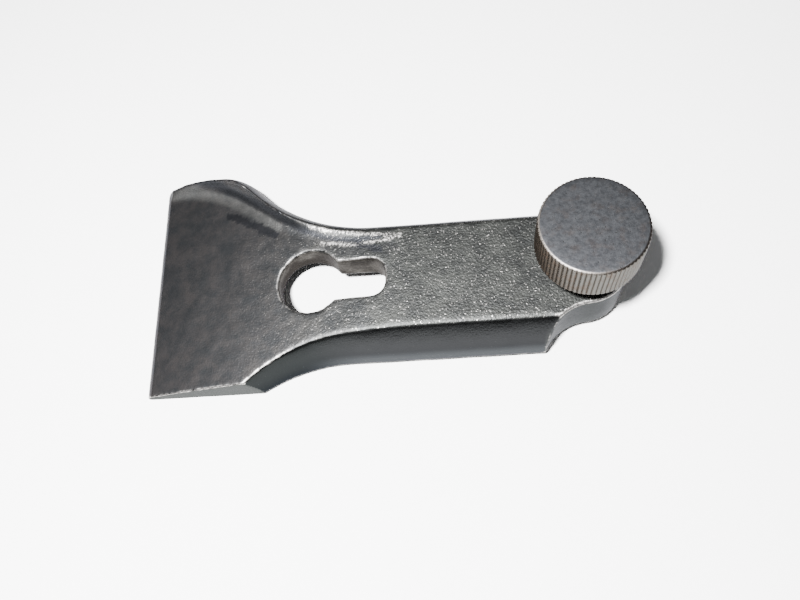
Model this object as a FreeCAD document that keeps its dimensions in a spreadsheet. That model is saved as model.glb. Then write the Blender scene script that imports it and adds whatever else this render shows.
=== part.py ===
import FreeCAD, Part
import math
import os
import Sketcher
from FreeCAD import Placement, Rotation, Vector

# The lever cap and thumbscrew of a small metal plane with a 1 1/2 in cutter.
#
# Frame: the origin is the middle of the screw's tip, which the tail stands on. +Z is up, along
# the screw. The lip, which bears on the cutter, is at -X. +Y is the side with the raised ear.
# Each piece is drawn with its rim plane at zero and then lifted by the tip's reach.

SIZES = {
    # the cap, seen from above
    "lip_width": 38.1,           # as wide as the cutter
    "lip_shift": 3.6,            # the lip's middle is this far to the ear side of the screw
    "lip_to_screw": 70.1,
    "lip_thickness": 1.2,
    "body_width": 23.0,          # across the rim
    "body_height": 8.2,
    "shoulder_inset": 3.0,       # how far the rounded shoulder leans in from rim to top
    "plain_flare_start": 33.0,   # from the lip
    "plain_flare_radius": 27.0,
    "ear_flare_start": 38.0,     # from the lip
    "ear_flare_radius": 27.0,
    "ear_radius": 8.5,
    "ear_past_lip": 0.5,         # the ear stands out this far past the lip's corner
    "ear_front_bow": 0.4,        # the ear's front edge bows out from the straight
    "neck_corner": 6.4,          # from the shoulder's end to the screw's axis
    "neck_radius": 8.0,
    "tail_radius": 6.8,
    # the nose, seen from the side
    "nose_start": 43.0,          # from the lip
    "nose_tilt": 0.015,          # slope with which the nose leaves the top
    "ear_crest_start": 21.0,     # from the lip
    "ear_crest_above": 0.1,      # the crest's arc clears the top by this, so its end is square
    # the keyhole
    "eye_radius": 5.25,
    "eye_to_screw": 42.7,
    "eye_shift": 0.45,           # towards the ear, from the screw
    "slot_width": 6.4,
    "slot_shift": 0.15,          # towards the ear, from the screw
    "slot_end_to_screw": 30.7,
    "slot_corner_radius": 2.3,
    # the hollow underside
    "rim_wall": 3.2,
    "hollow_depth": 2.6,
    "hollow_front_to_lip": 14.0,
    "hollow_back_to_screw": 9.6,
    "hollow_corner_radius": 2.5,
    # the screw
    "thread_radius": 3.57,       # 9/32 in across
    "thread_pitch": 1.058,       # 24 turns to the inch
    "thread_depth": 0.6,
    "thread_clearance": 0.05,
    "relief_length": 1.3,        # the stem is narrower just under the head
    "tip_reach": 1.6,            # the tip stands below the rim
    "tip_chamfer": 0.7,
    "spigot_radius": 2.4,
    "spigot_length": 4.6,
    "spigot_clearance": 0.03,
    "spigot_end_gap": 0.2,
    "seat_width": 0.42,          # the shoulder that the head sits on, round the spigot
    # the knurled head
    "head_radius": 7.94,         # 5/8 in across
    "head_height": 7.0,
    "head_gap": 4.9,             # between the cap's top and the head
    "head_chamfer": 0.45,
    "knurl_depth": 0.32,
    "knurl_count": 72,
}

doc = FreeCAD.newDocument("lever_cap_assembly")
sheet = doc.addObject("Spreadsheet::Sheet", "sizes")
for row, (name, value) in enumerate(SIZES.items(), start=1):
    sheet.set(f"A{row}", name)
    sheet.set(f"B{row}", str(value))
    sheet.setAlias(f"B{row}", name)
doc.recompute()


def size(name):
    """A size, read back from the sheet."""
    return float(sheet.get(name))


# ---------------------------------------------------------------- helpers


def new_body(name):
    """A body, lifted so that the screw's tip is at zero."""
    body = doc.addObject("PartDesign::Body", name)
    body.Label = name
    body.setExpression("Placement.Base.z", "sizes.tip_reach")
    return body


def new_sketch(body, name, plane):
    sketch = body.newObject("Sketcher::SketchObject", name)
    support = [f for f in body.Origin.OriginFeatures if f.Role == plane][0]
    sketch.AttachmentSupport = [(support, "")]
    sketch.MapMode = "FlatFace"
    return sketch


def line(start, end):
    return Part.LineSegment(Vector(*start, 0), Vector(*end, 0))


def arc(centre, radius, start_angle, end_angle):
    """An arc in a sketch; the angles are in radians and run either way."""
    def at(angle):
        return Vector(centre[0] + radius * math.cos(angle), centre[1] + radius * math.sin(angle), 0)
    return Part.Arc(at(start_angle), at((start_angle + end_angle) / 2), at(end_angle))


def polyline(points):
    """A closed loop of straight lines."""
    return [line(a, b) for a, b in zip(points, points[1:] + points[:1])]


def rounded_loop(points, radius):
    """A closed loop of straight lines with an arc of one radius at each corner."""
    pieces = []
    count = len(points)
    ends = []
    for i in range(count):
        corner = Vector(*points[i], 0)
        back = (Vector(*points[i - 1], 0) - corner).normalize()
        on = (Vector(*points[(i + 1) % count], 0) - corner).normalize()
        half = back.getAngle(on) / 2
        reach = radius / math.tan(half)
        middle = corner + (back + on).normalize() * (radius / math.sin(half) - radius)
        entry, leave = corner + back * reach, corner + on * reach
        pieces.append(Part.Arc(entry, middle, leave))
        ends.append((entry, leave))
    for i in range(count):
        pieces.append(Part.LineSegment(ends[i][1], ends[(i + 1) % count][0]))
    return pieces


def hold(sketch):
    """Fixes every piece of a sketch where its formula put it."""
    for i in range(len(sketch.Geometry)):
        sketch.addConstraint(Sketcher.Constraint("Block", i))


def bound_circle(sketch, centre, radius_name, radius_rule):
    """A circle whose radius is bound to the sheet."""
    index = sketch.addGeometry(Part.Circle(Vector(*centre, 0), Vector(0, 0, 1), size(radius_name)))
    radius = sketch.addConstraint(Sketcher.Constraint("Radius", index, size(radius_name)))
    sketch.renameConstraint(radius, "radius")
    sketch.setExpression("Constraints.radius", radius_rule)
    sketch.addConstraint(Sketcher.Constraint("DistanceX", -1, 1, index, 3, centre[0]))
    sketch.addConstraint(Sketcher.Constraint("DistanceY", -1, 1, index, 3, centre[1]))


LEAST_CUT = 0.1                  # cubic millimetres


def cut_away(feature, base_volume):
    """Makes sure that a cut really took something off."""
    doc.recompute()
    if feature.Shape.Volume > base_volume - LEAST_CUT:
        raise ValueError(f"{feature.Name} cuts nothing")


# ---------------------------------------------------------------- the cap's outline

OVERRUN = 2.0                    # how far a cutting shape runs past the metal that it cuts
CLEAR = 3 * OVERRUN              # well outside the casting
LIP_X = -size("lip_to_screw")
LIP_EAR_Y = size("lip_shift") + size("lip_width") / 2
LIP_PLAIN_Y = size("lip_shift") - size("lip_width") / 2
HALF_BODY = size("body_width") / 2
SHOULDER_RADIUS = (size("body_height") ** 2 + size("shoulder_inset") ** 2) / (2 * size("shoulder_inset"))

# The ear: a hollow flare that turns until the round ear stands out past the lip's corner.
EAR_RADII = size("ear_flare_radius") + size("ear_radius")
EAR_OUT = LIP_EAR_Y + size("ear_past_lip") - HALF_BODY
EAR_SWEEP = math.acos(1 - EAR_OUT / EAR_RADII)
EAR_FLARE = Vector(LIP_X + size("ear_flare_start"), HALF_BODY + size("ear_flare_radius"), 0)
EAR_CENTRE = EAR_FLARE - Vector(math.sin(EAR_SWEEP), math.cos(EAR_SWEEP), 0) * EAR_RADII


def shoulder_lean(height):
    """How far the shoulder leans in at a height: a round that starts upright at the rim."""
    return SHOULDER_RADIUS - math.sqrt(SHOULDER_RADIUS ** 2 - height ** 2)


def ear_side(inset):
    """The ear's side, from the tail to the lip: straight, hollow flare, round ear, bowed front."""
    radius = size("ear_radius") - inset
    end = Vector(LIP_X - OVERRUN, LIP_EAR_Y - inset, 0)
    reach = end - EAR_CENTRE
    touch = math.atan2(reach.y, reach.x) - math.acos(radius / reach.Length)
    last = EAR_CENTRE + Vector(math.cos(touch), math.sin(touch), 0) * radius
    outward = Vector(math.cos(touch), math.sin(touch), 0)
    bowed = (last + end) / 2 + outward * size("ear_front_bow")
    y = HALF_BODY - inset
    return [
        line((size("tail_radius") + OVERRUN, y), (EAR_FLARE.x, y)),
        arc(EAR_FLARE, size("ear_flare_radius") + inset, -math.pi / 2, -math.pi / 2 - EAR_SWEEP),
        arc(EAR_CENTRE, radius, math.pi / 2 - EAR_SWEEP, touch),
        Part.Arc(last, bowed, end),
    ]


def plain_side(inset):
    """The plain side, from the lip to the tail: the flare runs on past the ground facet."""
    radius = size("plain_flare_radius")
    out = -LIP_PLAIN_Y - HALF_BODY + 2 * size("shoulder_inset")
    sweep = math.acos(1 - out / radius)
    flare = Vector(LIP_X + size("plain_flare_start"), -HALF_BODY - radius, 0)
    first = flare + Vector(-math.sin(sweep), math.cos(sweep), 0) * (radius + inset)
    y = inset - HALF_BODY
    return [
        line((LIP_X - OVERRUN, first.y), (first.x, first.y)),
        arc(flare, radius + inset, math.pi / 2 + sweep, math.pi / 2),
        line((flare.x, y), (size("tail_radius") + OVERRUN, y)),
    ]


def cap_section(inset):
    """The whole outline, drawn in by an inset."""
    ear, plain = ear_side(inset), plain_side(inset)
    across_lip = Part.LineSegment(ear[-1].EndPoint, plain[0].StartPoint)
    across_tail = Part.LineSegment(plain[-1].EndPoint, ear[0].StartPoint)
    return ear + [across_lip] + plain + [across_tail]


def tail_outline():
    """The kept plan: square at the lip, stepped in at the neck, round about the screw."""
    tail, neck = size("tail_radius"), size("neck_radius")
    corner = Vector(-size("neck_corner"), HALF_BODY, 0)
    apart = corner.Length
    between = math.acos((apart ** 2 + (tail + neck) ** 2 - neck ** 2) / (2 * apart * (tail + neck)))
    touch = math.atan2(corner.y, corner.x) - between
    centre = Vector(math.cos(touch), math.sin(touch), 0) * (tail + neck)
    start = math.atan2(corner.y - centre.y, corner.x - centre.x)
    meet = touch - math.pi if touch > 0 else touch + math.pi
    if start > 0:
        start -= 2 * math.pi
    wide = LIP_EAR_Y + CLEAR
    return [
        line((LIP_X, LIP_PLAIN_Y), (LIP_X, wide)),
        line((LIP_X, wide), (corner.x, wide)),
        line((corner.x, wide), (corner.x, corner.y)),
        arc(centre, neck, start, meet),
        arc((0, 0), tail, touch, -touch),
        arc((centre.x, -centre.y), neck, -meet, -start),
        line((corner.x, -corner.y), (corner.x, LIP_PLAIN_Y)),
        line((corner.x, LIP_PLAIN_Y), (LIP_X, LIP_PLAIN_Y)),
    ]


# ---------------------------------------------------------------- the lever cap


def nose_height(from_lip):
    """The nose's height: nearly flat where it leaves the top, and curving down to the lip."""
    whole = size("nose_start")
    back = whole - from_lip
    drop = size("body_height") - size("lip_thickness") - size("nose_tilt") * whole
    return size("body_height") - size("nose_tilt") * back - drop * (max(back, 0) / whole) ** 2


def ear_crest_height(from_lip):
    """The ear's crest: a round hill that comes down to the lip's corner."""
    top = size("body_height") + size("ear_crest_above")
    run, rise = size("ear_crest_start"), top - size("lip_thickness")
    radius = (run ** 2 + rise ** 2) / (2 * rise)
    back = run - from_lip
    return top - radius + math.sqrt(radius ** 2 - back ** 2)


def add_shell(body):
    """The casting's outside: outlines that lean in with height, then cut to the plan."""
    sections = []
    steps = 4
    for i in range(steps + 1):
        height = size("body_height") * i / steps
        sketch = new_sketch(body, f"cap_section_{i}", "XY_Plane")
        sketch.addGeometry(cap_section(shoulder_lean(height)))
        hold(sketch)
        sketch.setExpression("AttachmentOffset.Base.z", f"sizes.body_height * {i} / {steps}")
        sections.append(sketch)
    shell = body.newObject("PartDesign::AdditiveLoft", "cap_shell")
    shell.Profile = sections[0]
    shell.Sections = sections[1:]
    shell.Ruled = False
    doc.recompute()

    plan = new_sketch(body, "cap_plan", "XY_Plane")
    plan.addGeometry(tail_outline())
    far = size("lip_to_screw")
    plan.addGeometry(polyline([(LIP_X - far, -far), (far, -far), (far, far), (LIP_X - far, far)]))
    hold(plan)
    trim = body.newObject("PartDesign::Pocket", "cap_trim")
    trim.Profile = plan
    trim.Type = 1
    trim.Midplane = True
    cut_away(trim, shell.Shape.Volume)


def add_ear_crest(body):
    """Rounds the ear down to the lip's corner, seen from the side."""
    side = new_sketch(body, "ear_crest_side", "XZ_Plane")
    top = size("body_height") + CLEAR
    before_lip, on_top = -OVERRUN / 2, size("ear_crest_start")
    low, middle, high = [
        Vector(LIP_X + from_lip, ear_crest_height(from_lip), 0)
        for from_lip in (before_lip, (before_lip + on_top) / 2, on_top)
    ]
    side.addGeometry([
        Part.Arc(low, middle, high),
        line((high.x, high.y), (high.x, top)),
        line((high.x, top), (low.x, top)),
        line((low.x, top), (low.x, low.y)),
    ])
    hold(side)
    before = body.Tip.Shape.Volume
    crest = body.newObject("PartDesign::Pocket", "ear_crest")
    crest.Profile = side
    crest.Type = 1
    crest.Midplane = True
    cut_away(crest, before)


# Where the nose's cove starts (its foot) and where it meets the ear (its crest): from the lip,
# then how far each lies inside the outline's own ear side at that place.
COVE_STATIONS = [
    (-1.0, 2.2, 0.2),
    (3.0, 2.5, 0.5),
    (7.0, 3.3, 1.1),
    (11.0, 4.7, 2.1),
    (16.5, 6.2, 3.5),
    (21.0, 5.9, 3.5),
    (26.0, 5.8, 3.4),
    (31.0, 5.7, 3.3),
    (37.0, 5.6, 3.4),
    (43.0, 5.5, 3.6),
    (47.0, 5.5, 3.6),
]
COVE_RUN_ON = 1.3                # the cove's round runs on past the crest by this share
LEAST_RISE = 0.15                # where the crest has sunk to the nose, the cove is still this high


def ear_outline_y(from_lip):
    """How far out the rim's ear side is, measured across the cap."""
    x = LIP_X + from_lip
    flare_radius, ear_radius = size("ear_flare_radius"), size("ear_radius")
    if x >= EAR_FLARE.x:
        return HALF_BODY
    if x >= EAR_FLARE.x - flare_radius * math.sin(EAR_SWEEP):
        return EAR_FLARE.y - math.sqrt(flare_radius ** 2 - (EAR_FLARE.x - x) ** 2)
    if x >= EAR_CENTRE.x:
        return EAR_CENTRE.y + math.sqrt(ear_radius ** 2 - (x - EAR_CENTRE.x) ** 2)
    share = (x - LIP_X) / (EAR_CENTRE.x - LIP_X)
    return LIP_EAR_Y + size("ear_past_lip") * share


def make_nose_tool():
    """What the nose is cut with: flat across the cap, with a cove where the ear is left."""
    body = new_body("nose_tool")
    sections = []
    top = size("body_height") + CLEAR
    clear = LIP_PLAIN_Y - CLEAR
    for i, (from_lip, foot_in, crest_in) in enumerate(COVE_STATIONS):
        low = nose_height(from_lip)
        rise = max(ear_crest_height(min(from_lip, size("ear_crest_start"))) - low, LEAST_RISE)
        foot = Vector(ear_outline_y(from_lip) - foot_in, low, 0)
        crest = Vector(ear_outline_y(from_lip) - crest_in, low + rise, 0)
        run = crest.x - foot.x
        radius = (run ** 2 + rise ** 2) / (2 * rise)
        turn = min(math.atan2(run, radius - rise) * COVE_RUN_ON, math.pi / 2)
        middle = foot + Vector(math.sin(turn / 2), 1 - math.cos(turn / 2), 0) * radius
        end = foot + Vector(math.sin(turn), 1 - math.cos(turn), 0) * radius
        sketch = new_sketch(body, f"nose_section_{i}", "YZ_Plane")
        sketch.addGeometry([
            line((clear, low), (foot.x, low)),
            Part.Arc(foot, middle, end),
            line((end.x, end.y), (end.x, top)),
            line((end.x, top), (clear, top)),
            line((clear, top), (clear, low)),
        ])
        hold(sketch)
        sketch.setExpression("AttachmentOffset.Base.z", f"{from_lip} - sizes.lip_to_screw")
        sections.append(sketch)
    tool = body.newObject("PartDesign::AdditiveLoft", "nose_loft")
    tool.Profile = sections[0]
    tool.Sections = sections[1:]
    tool.Ruled = False
    doc.recompute()
    return body


def add_hollow(body):
    """Hollows the underside, which leaves the casting a wall all round its rim."""
    wall = size("rim_wall")
    front = LIP_X + size("hollow_front_to_lip")
    back = -size("hollow_back_to_screw")
    side = HALF_BODY - wall
    thick_wall = 1.5 * wall      # where the outline turns, and under the ear
    flare_x = LIP_X + size("plain_flare_start") - thick_wall
    ear_x = LIP_X + size("ear_flare_start") - thick_wall
    points = [
        (front, LIP_PLAIN_Y + wall),
        (front + thick_wall, LIP_PLAIN_Y + wall),
        (flare_x, -side),
        (back, -side),
        (back, side),
        (ear_x, side),
        (front + thick_wall, LIP_EAR_Y - thick_wall),
        (front, LIP_EAR_Y - thick_wall),
    ]
    sketch = new_sketch(body, "hollow_plan", "XY_Plane")
    sketch.addGeometry(rounded_loop(points, size("hollow_corner_radius")))
    hold(sketch)
    before = body.Tip.Shape.Volume
    hollow = body.newObject("PartDesign::Pocket", "hollow")
    hollow.Profile = sketch
    hollow.Reversed = True
    hollow.setExpression("Length", "sizes.hollow_depth")
    cut_away(hollow, before)


def add_keyhole(body):
    """A round eye that runs into a slot: the eye drops over a stud, the slot grips it."""
    eye = Vector(-size("eye_to_screw"), size("eye_shift"), 0)
    radius, corner = size("eye_radius"), size("slot_corner_radius")
    end = -size("slot_end_to_screw")
    ear_edge = size("slot_shift") + size("slot_width") / 2
    plain_edge = size("slot_shift") - size("slot_width") / 2
    enter = math.asin((ear_edge - eye.y) / radius)
    leave = math.asin((plain_edge - eye.y) / radius)
    sketch = new_sketch(body, "keyhole_plan", "XY_Plane")
    sketch.addGeometry([
        arc(eye, radius, enter, 2 * math.pi + leave),
        line((eye.x + radius * math.cos(leave), plain_edge), (end - corner, plain_edge)),
        arc((end - corner, plain_edge + corner), corner, -math.pi / 2, 0),
        line((end, plain_edge + corner), (end, ear_edge - corner)),
        arc((end - corner, ear_edge - corner), corner, 0, math.pi / 2),
        line((end - corner, ear_edge), (eye.x + radius * math.cos(enter), ear_edge)),
    ])
    hold(sketch)
    before = body.Tip.Shape.Volume
    keyhole = body.newObject("PartDesign::Pocket", "keyhole")
    keyhole.Profile = sketch
    keyhole.Type = 1
    keyhole.Midplane = True
    cut_away(keyhole, before)


def add_screw_hole(body):
    """The hole that the stem turns in, as wide as its thread and a clearance."""
    sketch = new_sketch(body, "screw_hole_plan", "XY_Plane")
    bound_circle(sketch, (0, 0), "thread_radius", "sizes.thread_radius + sizes.thread_clearance")
    before = body.Tip.Shape.Volume
    hole = body.newObject("PartDesign::Pocket", "screw_hole")
    hole.Profile = sketch
    hole.Type = 1
    hole.Midplane = True
    cut_away(hole, before)


def make_lever_cap():
    casting = new_body("casting")
    add_shell(casting)
    add_ear_crest(casting)
    add_hollow(casting)
    add_keyhole(casting)
    add_screw_hole(casting)
    cap = doc.addObject("Part::Cut", "lever_cap")
    cap.Label = "lever_cap"
    cap.Base = casting
    cap.Tool = make_nose_tool()
    cut_away(cap, casting.Shape.Volume)
    return cap


# ---------------------------------------------------------------- the thumbscrew

HEAD_SEAT = size("body_height") + size("head_gap")
CUT_PAST = 0.1                   # how far the thread and knurl cutters stand out of the metal
RUN_OUT_TURNS = 0.3              # the thread runs out into the relief by this part of a turn
GROOVE_SHARE = 0.72              # of the space from rib to rib, at the rim


def make_stem():
    """The threaded stem: a turned bar with a chamfered tip, a relief and a spigot."""
    body = new_body("thumbscrew_stem")
    radius, spigot = size("thread_radius"), size("spigot_radius")
    relief = spigot + size("seat_width")
    tip, chamfer = -size("tip_reach"), size("tip_chamfer")
    run_out = HEAD_SEAT - size("relief_length")
    top = HEAD_SEAT + size("spigot_length")
    blank = new_sketch(body, "stem_half", "XZ_Plane")
    blank.addGeometry(polyline([
        (0, tip), (radius - chamfer, tip), (radius, tip + chamfer), (radius, run_out),
        (relief, HEAD_SEAT - size("relief_length") / 2), (relief, HEAD_SEAT),
        (spigot, HEAD_SEAT), (spigot, top), (0, top),
    ]))
    hold(blank)
    turned = body.newObject("PartDesign::Revolution", "stem_turned")
    turned.Profile = blank
    turned.ReferenceAxis = (blank, ["V_Axis"])
    turned.Angle = 360
    doc.recompute()

    root, pitch = radius - size("thread_depth"), size("thread_pitch")
    half_root, half_mouth = 0.05 * pitch, 0.44 * pitch
    start = tip - pitch
    tooth = new_sketch(body, "thread_tooth", "XZ_Plane")
    tooth.addGeometry(polyline([
        (root, start - half_root), (root, start + half_root),
        (radius + CUT_PAST, start + half_mouth), (radius + CUT_PAST, start - half_mouth),
    ]))
    hold(tooth)
    thread = body.newObject("PartDesign::SubtractiveHelix", "thread")
    thread.Profile = tooth
    thread.ReferenceAxis = (tooth, ["V_Axis"])
    thread.Mode = 0
    thread.setExpression("Pitch", "sizes.thread_pitch")
    thread.setExpression(
        "Height",
        "sizes.tip_reach + sizes.body_height + sizes.head_gap - sizes.relief_length"
        f" + {1 + RUN_OUT_TURNS} * sizes.thread_pitch",
    )
    cut_away(thread, turned.Shape.Volume)
    return body


def make_head():
    """The knurled head: a short cylinder with chamfered rims, ribs and a blind hole."""
    body = new_body("thumbscrew_head")
    radius, chamfer = size("head_radius"), size("head_chamfer")
    top = HEAD_SEAT + size("head_height")
    hole = size("spigot_radius") + size("spigot_clearance")
    hole_top = HEAD_SEAT + size("spigot_length") + size("spigot_end_gap")
    blank = new_sketch(body, "head_half", "XZ_Plane")
    blank.addGeometry(polyline([
        (hole, HEAD_SEAT), (radius - chamfer, HEAD_SEAT), (radius, HEAD_SEAT + chamfer),
        (radius, top - chamfer), (radius - chamfer, top), (0, top), (0, hole_top), (hole, hole_top),
    ]))
    hold(blank)
    turned = body.newObject("PartDesign::Revolution", "head_turned")
    turned.Profile = blank
    turned.ReferenceAxis = (blank, ["V_Axis"])
    turned.Angle = 360
    doc.recompute()

    half_mouth = GROOVE_SHARE * math.pi * radius / size("knurl_count")
    groove_plan = new_sketch(body, "groove_plan", "XY_Plane")
    groove_plan.addGeometry(polyline([
        (radius - size("knurl_depth"), 0),
        (radius + CUT_PAST, half_mouth),
        (radius + CUT_PAST, -half_mouth),
    ]))
    hold(groove_plan)
    groove = body.newObject("PartDesign::Pocket", "groove")
    groove.Profile = groove_plan
    groove.Reversed = True
    groove.Type = 1
    cut_away(groove, turned.Shape.Volume)

    knurl = body.newObject("PartDesign::PolarPattern", "knurl")
    knurl.Originals = [groove]
    knurl.Axis = (groove_plan, ["N_Axis"])
    knurl.Angle = 360
    knurl.setExpression("Occurrences", "sizes.knurl_count")
    body.Tip = knurl
    cut_away(knurl, groove.Shape.Volume)
    return body


pieces = [make_lever_cap(), make_stem(), make_head()]
doc.recompute()
for item in doc.Objects:
    if "Invalid" in item.State or "Error" in item.State:
        raise ValueError(f"{item.Name} failed")
for piece in pieces:
    if piece.Shape.isNull() or not piece.Shape.isValid() or len(piece.Shape.Solids) != 1:
        raise ValueError(f"{piece.Label} isn't one sound solid")

os.makedirs("parts", exist_ok=True)
for piece in pieces:
    piece.Shape.exportStep(f"parts/{piece.Label}.step")
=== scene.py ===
# %% [markdown]
# # A lever cap and its thumbscrew
# This is the clamping cap of a small metal plane: one iron casting with a wide thin lip, a
# keyhole and one raised ear, and a steel thumbscrew through its round tail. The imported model
# is loaded first, because each piece made here takes its place and its size from it.

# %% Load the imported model
import bmesh
import bpy
import math
import numpy as np
from mathutils import Matrix, Vector, noise


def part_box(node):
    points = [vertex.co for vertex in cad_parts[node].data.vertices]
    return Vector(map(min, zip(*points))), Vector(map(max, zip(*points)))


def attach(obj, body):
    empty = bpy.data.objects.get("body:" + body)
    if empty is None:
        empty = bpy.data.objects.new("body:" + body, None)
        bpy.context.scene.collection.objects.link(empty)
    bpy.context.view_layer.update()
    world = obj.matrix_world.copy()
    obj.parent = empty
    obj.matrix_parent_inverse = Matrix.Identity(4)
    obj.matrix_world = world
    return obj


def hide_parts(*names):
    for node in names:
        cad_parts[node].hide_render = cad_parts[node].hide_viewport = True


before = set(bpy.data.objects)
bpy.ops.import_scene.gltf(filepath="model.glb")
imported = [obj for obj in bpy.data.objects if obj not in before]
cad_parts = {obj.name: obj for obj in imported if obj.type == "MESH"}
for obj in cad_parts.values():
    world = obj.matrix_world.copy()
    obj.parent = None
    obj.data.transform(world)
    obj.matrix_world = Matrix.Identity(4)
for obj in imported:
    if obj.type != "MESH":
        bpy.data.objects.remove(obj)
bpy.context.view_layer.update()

# %% [markdown]
# Blender works in metres here, and a cap is drawn in millimetres, so one factor turns the one
# into the other. The node's boxes give the heights that the pieces below are built to.

# %% Measure the frame
MM = 0.001


def box_mm(node):
    """A node's lowest and highest corners, in millimetres."""
    low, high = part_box(node)
    return Vector(low) / MM, Vector(high) / MM


cap_low, cap_high = box_mm("lever_cap")
stem_low, stem_high = box_mm("thumbscrew_stem")
head_low, head_high = box_mm("thumbscrew_head")
print("cap", cap_low[:], cap_high[:])
print("stem", stem_low[:], stem_high[:], "head", head_low[:], head_high[:])

# %% [markdown]
# The camera looks down on the part from the plain side, close by and with a slight roll, as
# somebody holding a small camera over a table would. It is turned about Z for its heading,
# then about X for its tilt, then about its own axis for the roll.

# %% Place the camera
CAMERA_PLACE = Vector((-20.36, -52.74, 117.49)) * MM
CAMERA_HEADING, CAMERA_TILT, CAMERA_ROLL = (math.radians(a) for a in (9.49, 24.49, -12.44))
SENSOR_WIDTH, FOCAL_LENGTH = 36.0, 34.69


def turned(angle, axis):
    return Matrix.Rotation(angle, 4, axis)


def put_in_scene(name, data, matrix):
    thing = bpy.data.objects.new(name, data)
    thing.matrix_world = matrix
    bpy.context.scene.collection.objects.link(thing)
    return thing


lens = bpy.data.cameras.new("camera")
lens.sensor_width = SENSOR_WIDTH
lens.lens = FOCAL_LENGTH
lens.clip_start = 0.01
aim = turned(CAMERA_HEADING, "Z") @ turned(CAMERA_TILT, "X") @ turned(CAMERA_ROLL, "Z")
camera = put_in_scene("camera", lens, Matrix.Translation(CAMERA_PLACE) @ aim)
bpy.context.scene.camera = camera
print("camera at", camera.matrix_world.translation[:])

# %% [markdown]
# The part lies on a sheet of white paper and touches it with the lip and with the screw's
# tip, which stands a little lower than the casting's rim. So the floor is one large flat
# sheet that leans by just over a degree, through those two places.

# %% Lay the floor
FLOOR_REACH = 700.0


def floor_height(x):
    """The floor's height in millimetres: the rim's at the lip, zero at the screw."""
    return cap_low.z * x / cap_low.x


floor_mesh = bpy.data.meshes.new("floor")
floor_corners = [(-FLOOR_REACH, -FLOOR_REACH), (FLOOR_REACH, -FLOOR_REACH),
                 (FLOOR_REACH, FLOOR_REACH), (-FLOOR_REACH, FLOOR_REACH)]
floor_mesh.from_pydata([Vector((x, y, floor_height(x))) * MM for x, y in floor_corners],
                       [], [(0, 1, 2, 3)])
floor = put_in_scene("floor", floor_mesh, Matrix.Identity(4))
print("floor leans", round(math.degrees(math.atan2(cap_low.z, -cap_low.x)), 2), "degrees")

# %% [markdown]
# A small soft lamp stands above and to the left of the camera. It gives the thin bright line
# along each rounded edge and the glints on the rough top. A pale world fills the shadows, and
# it is dimmer than the lamp, so that the steel's sides have something dark to reflect.

# %% Light the scene
LAMP_PLACE = Vector((-67.0, -60.0, 216.0)) * MM
LAMP_TARGET = Vector((-20.0, 0.0, 10.0)) * MM
LAMP_SIZE, LAMP_ENERGY = 18 * MM, 4.6
WORLD_COLOUR, WORLD_STRENGTH = (0.97, 0.985, 1.0, 1), 0.155


def add_lamp(name, place, target, size, energy):
    data = bpy.data.lights.new(name, "AREA")
    data.size = size
    data.energy = energy
    look = (target - place).to_track_quat("-Z", "Y").to_matrix().to_4x4()
    return put_in_scene(name, data, Matrix.Translation(place) @ look)


add_lamp("key_lamp", LAMP_PLACE, LAMP_TARGET, LAMP_SIZE, LAMP_ENERGY)
world = bpy.data.worlds.new("studio")
world.use_nodes = True
background = world.node_tree.nodes["Background"]
background.inputs["Color"].default_value = WORLD_COLOUR
background.inputs["Strength"].default_value = WORLD_STRENGTH
bpy.context.scene.world = world
print("lamp is", round((LAMP_PLACE - LAMP_TARGET).length, 3), "m away")

# %% [markdown]
# Node trees are easier to read when each step is one short call. These helpers add a node,
# join a socket or set its plain value, and hand back the output that is used next. They serve
# shader trees and geometry trees alike.

# %% Helpers for node trees


def feed(tree, value, socket):
    if isinstance(value, bpy.types.NodeSocket):
        tree.links.new(value, socket)
    else:
        socket.default_value = value


def add_node(tree, kind, inputs=(), **settings):
    """Adds a node; inputs is a list of (socket name or number, value or socket)."""
    node = tree.nodes.new(kind)
    for name, value in settings.items():
        setattr(node, name, value)
    for label, value in inputs:
        feed(tree, value, node.inputs[label])
    return node


def maths(tree, operation, a, b=0.0, c=0.0, clamp=False):
    node = add_node(tree, "ShaderNodeMath", operation=operation, use_clamp=clamp)
    for socket, value in zip(node.inputs, (a, b, c)):
        feed(tree, value, socket)
    return node.outputs[0]


def rise(tree, value, low, high, to_low=0.0, to_high=1.0):
    """Turns a number smoothly from to_low to to_high as value goes from low to high."""
    node = add_node(tree, "ShaderNodeMapRange", interpolation_type="SMOOTHSTEP")
    for label, number in (("Value", value), ("From Min", low), ("From Max", high),
                          ("To Min", to_low), ("To Max", to_high)):
        feed(tree, number, node.inputs[label])
    return node.outputs["Result"]


def blend(tree, share, first, second):
    """A colour that goes from first to second with share."""
    node = add_node(tree, "ShaderNodeMix", data_type="RGBA")
    for number, value in ((0, share), (6, first), (7, second)):
        feed(tree, value, node.inputs[number])
    return node.outputs[2]


def blend_number(tree, share, first, second):
    node = add_node(tree, "ShaderNodeMix", data_type="FLOAT")
    for number, value in ((0, share), (2, first), (3, second)):
        feed(tree, value, node.inputs[number])
    return node.outputs[0]


def places_mm(tree, scale=(1.0, 1.0, 1.0)):
    """A surface point's own place in millimetres, which moves with the piece."""
    places = add_node(tree, "ShaderNodeTexCoord").outputs["Object"]
    node = add_node(tree, "ShaderNodeMapping", [("Vector", places)])
    node.inputs["Scale"].default_value = Vector(scale) / MM
    return node.outputs["Vector"]


def cloud(tree, places, scale, detail=2.0, roughness=0.5):
    """Soft noise about a half; scale is in features a millimetre."""
    node = add_node(tree, "ShaderNodeTexNoise", [("Vector", places), ("Scale", scale),
                                                 ("Detail", detail), ("Roughness", roughness)])
    return node.outputs["Fac"]


print("helpers ready")
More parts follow.
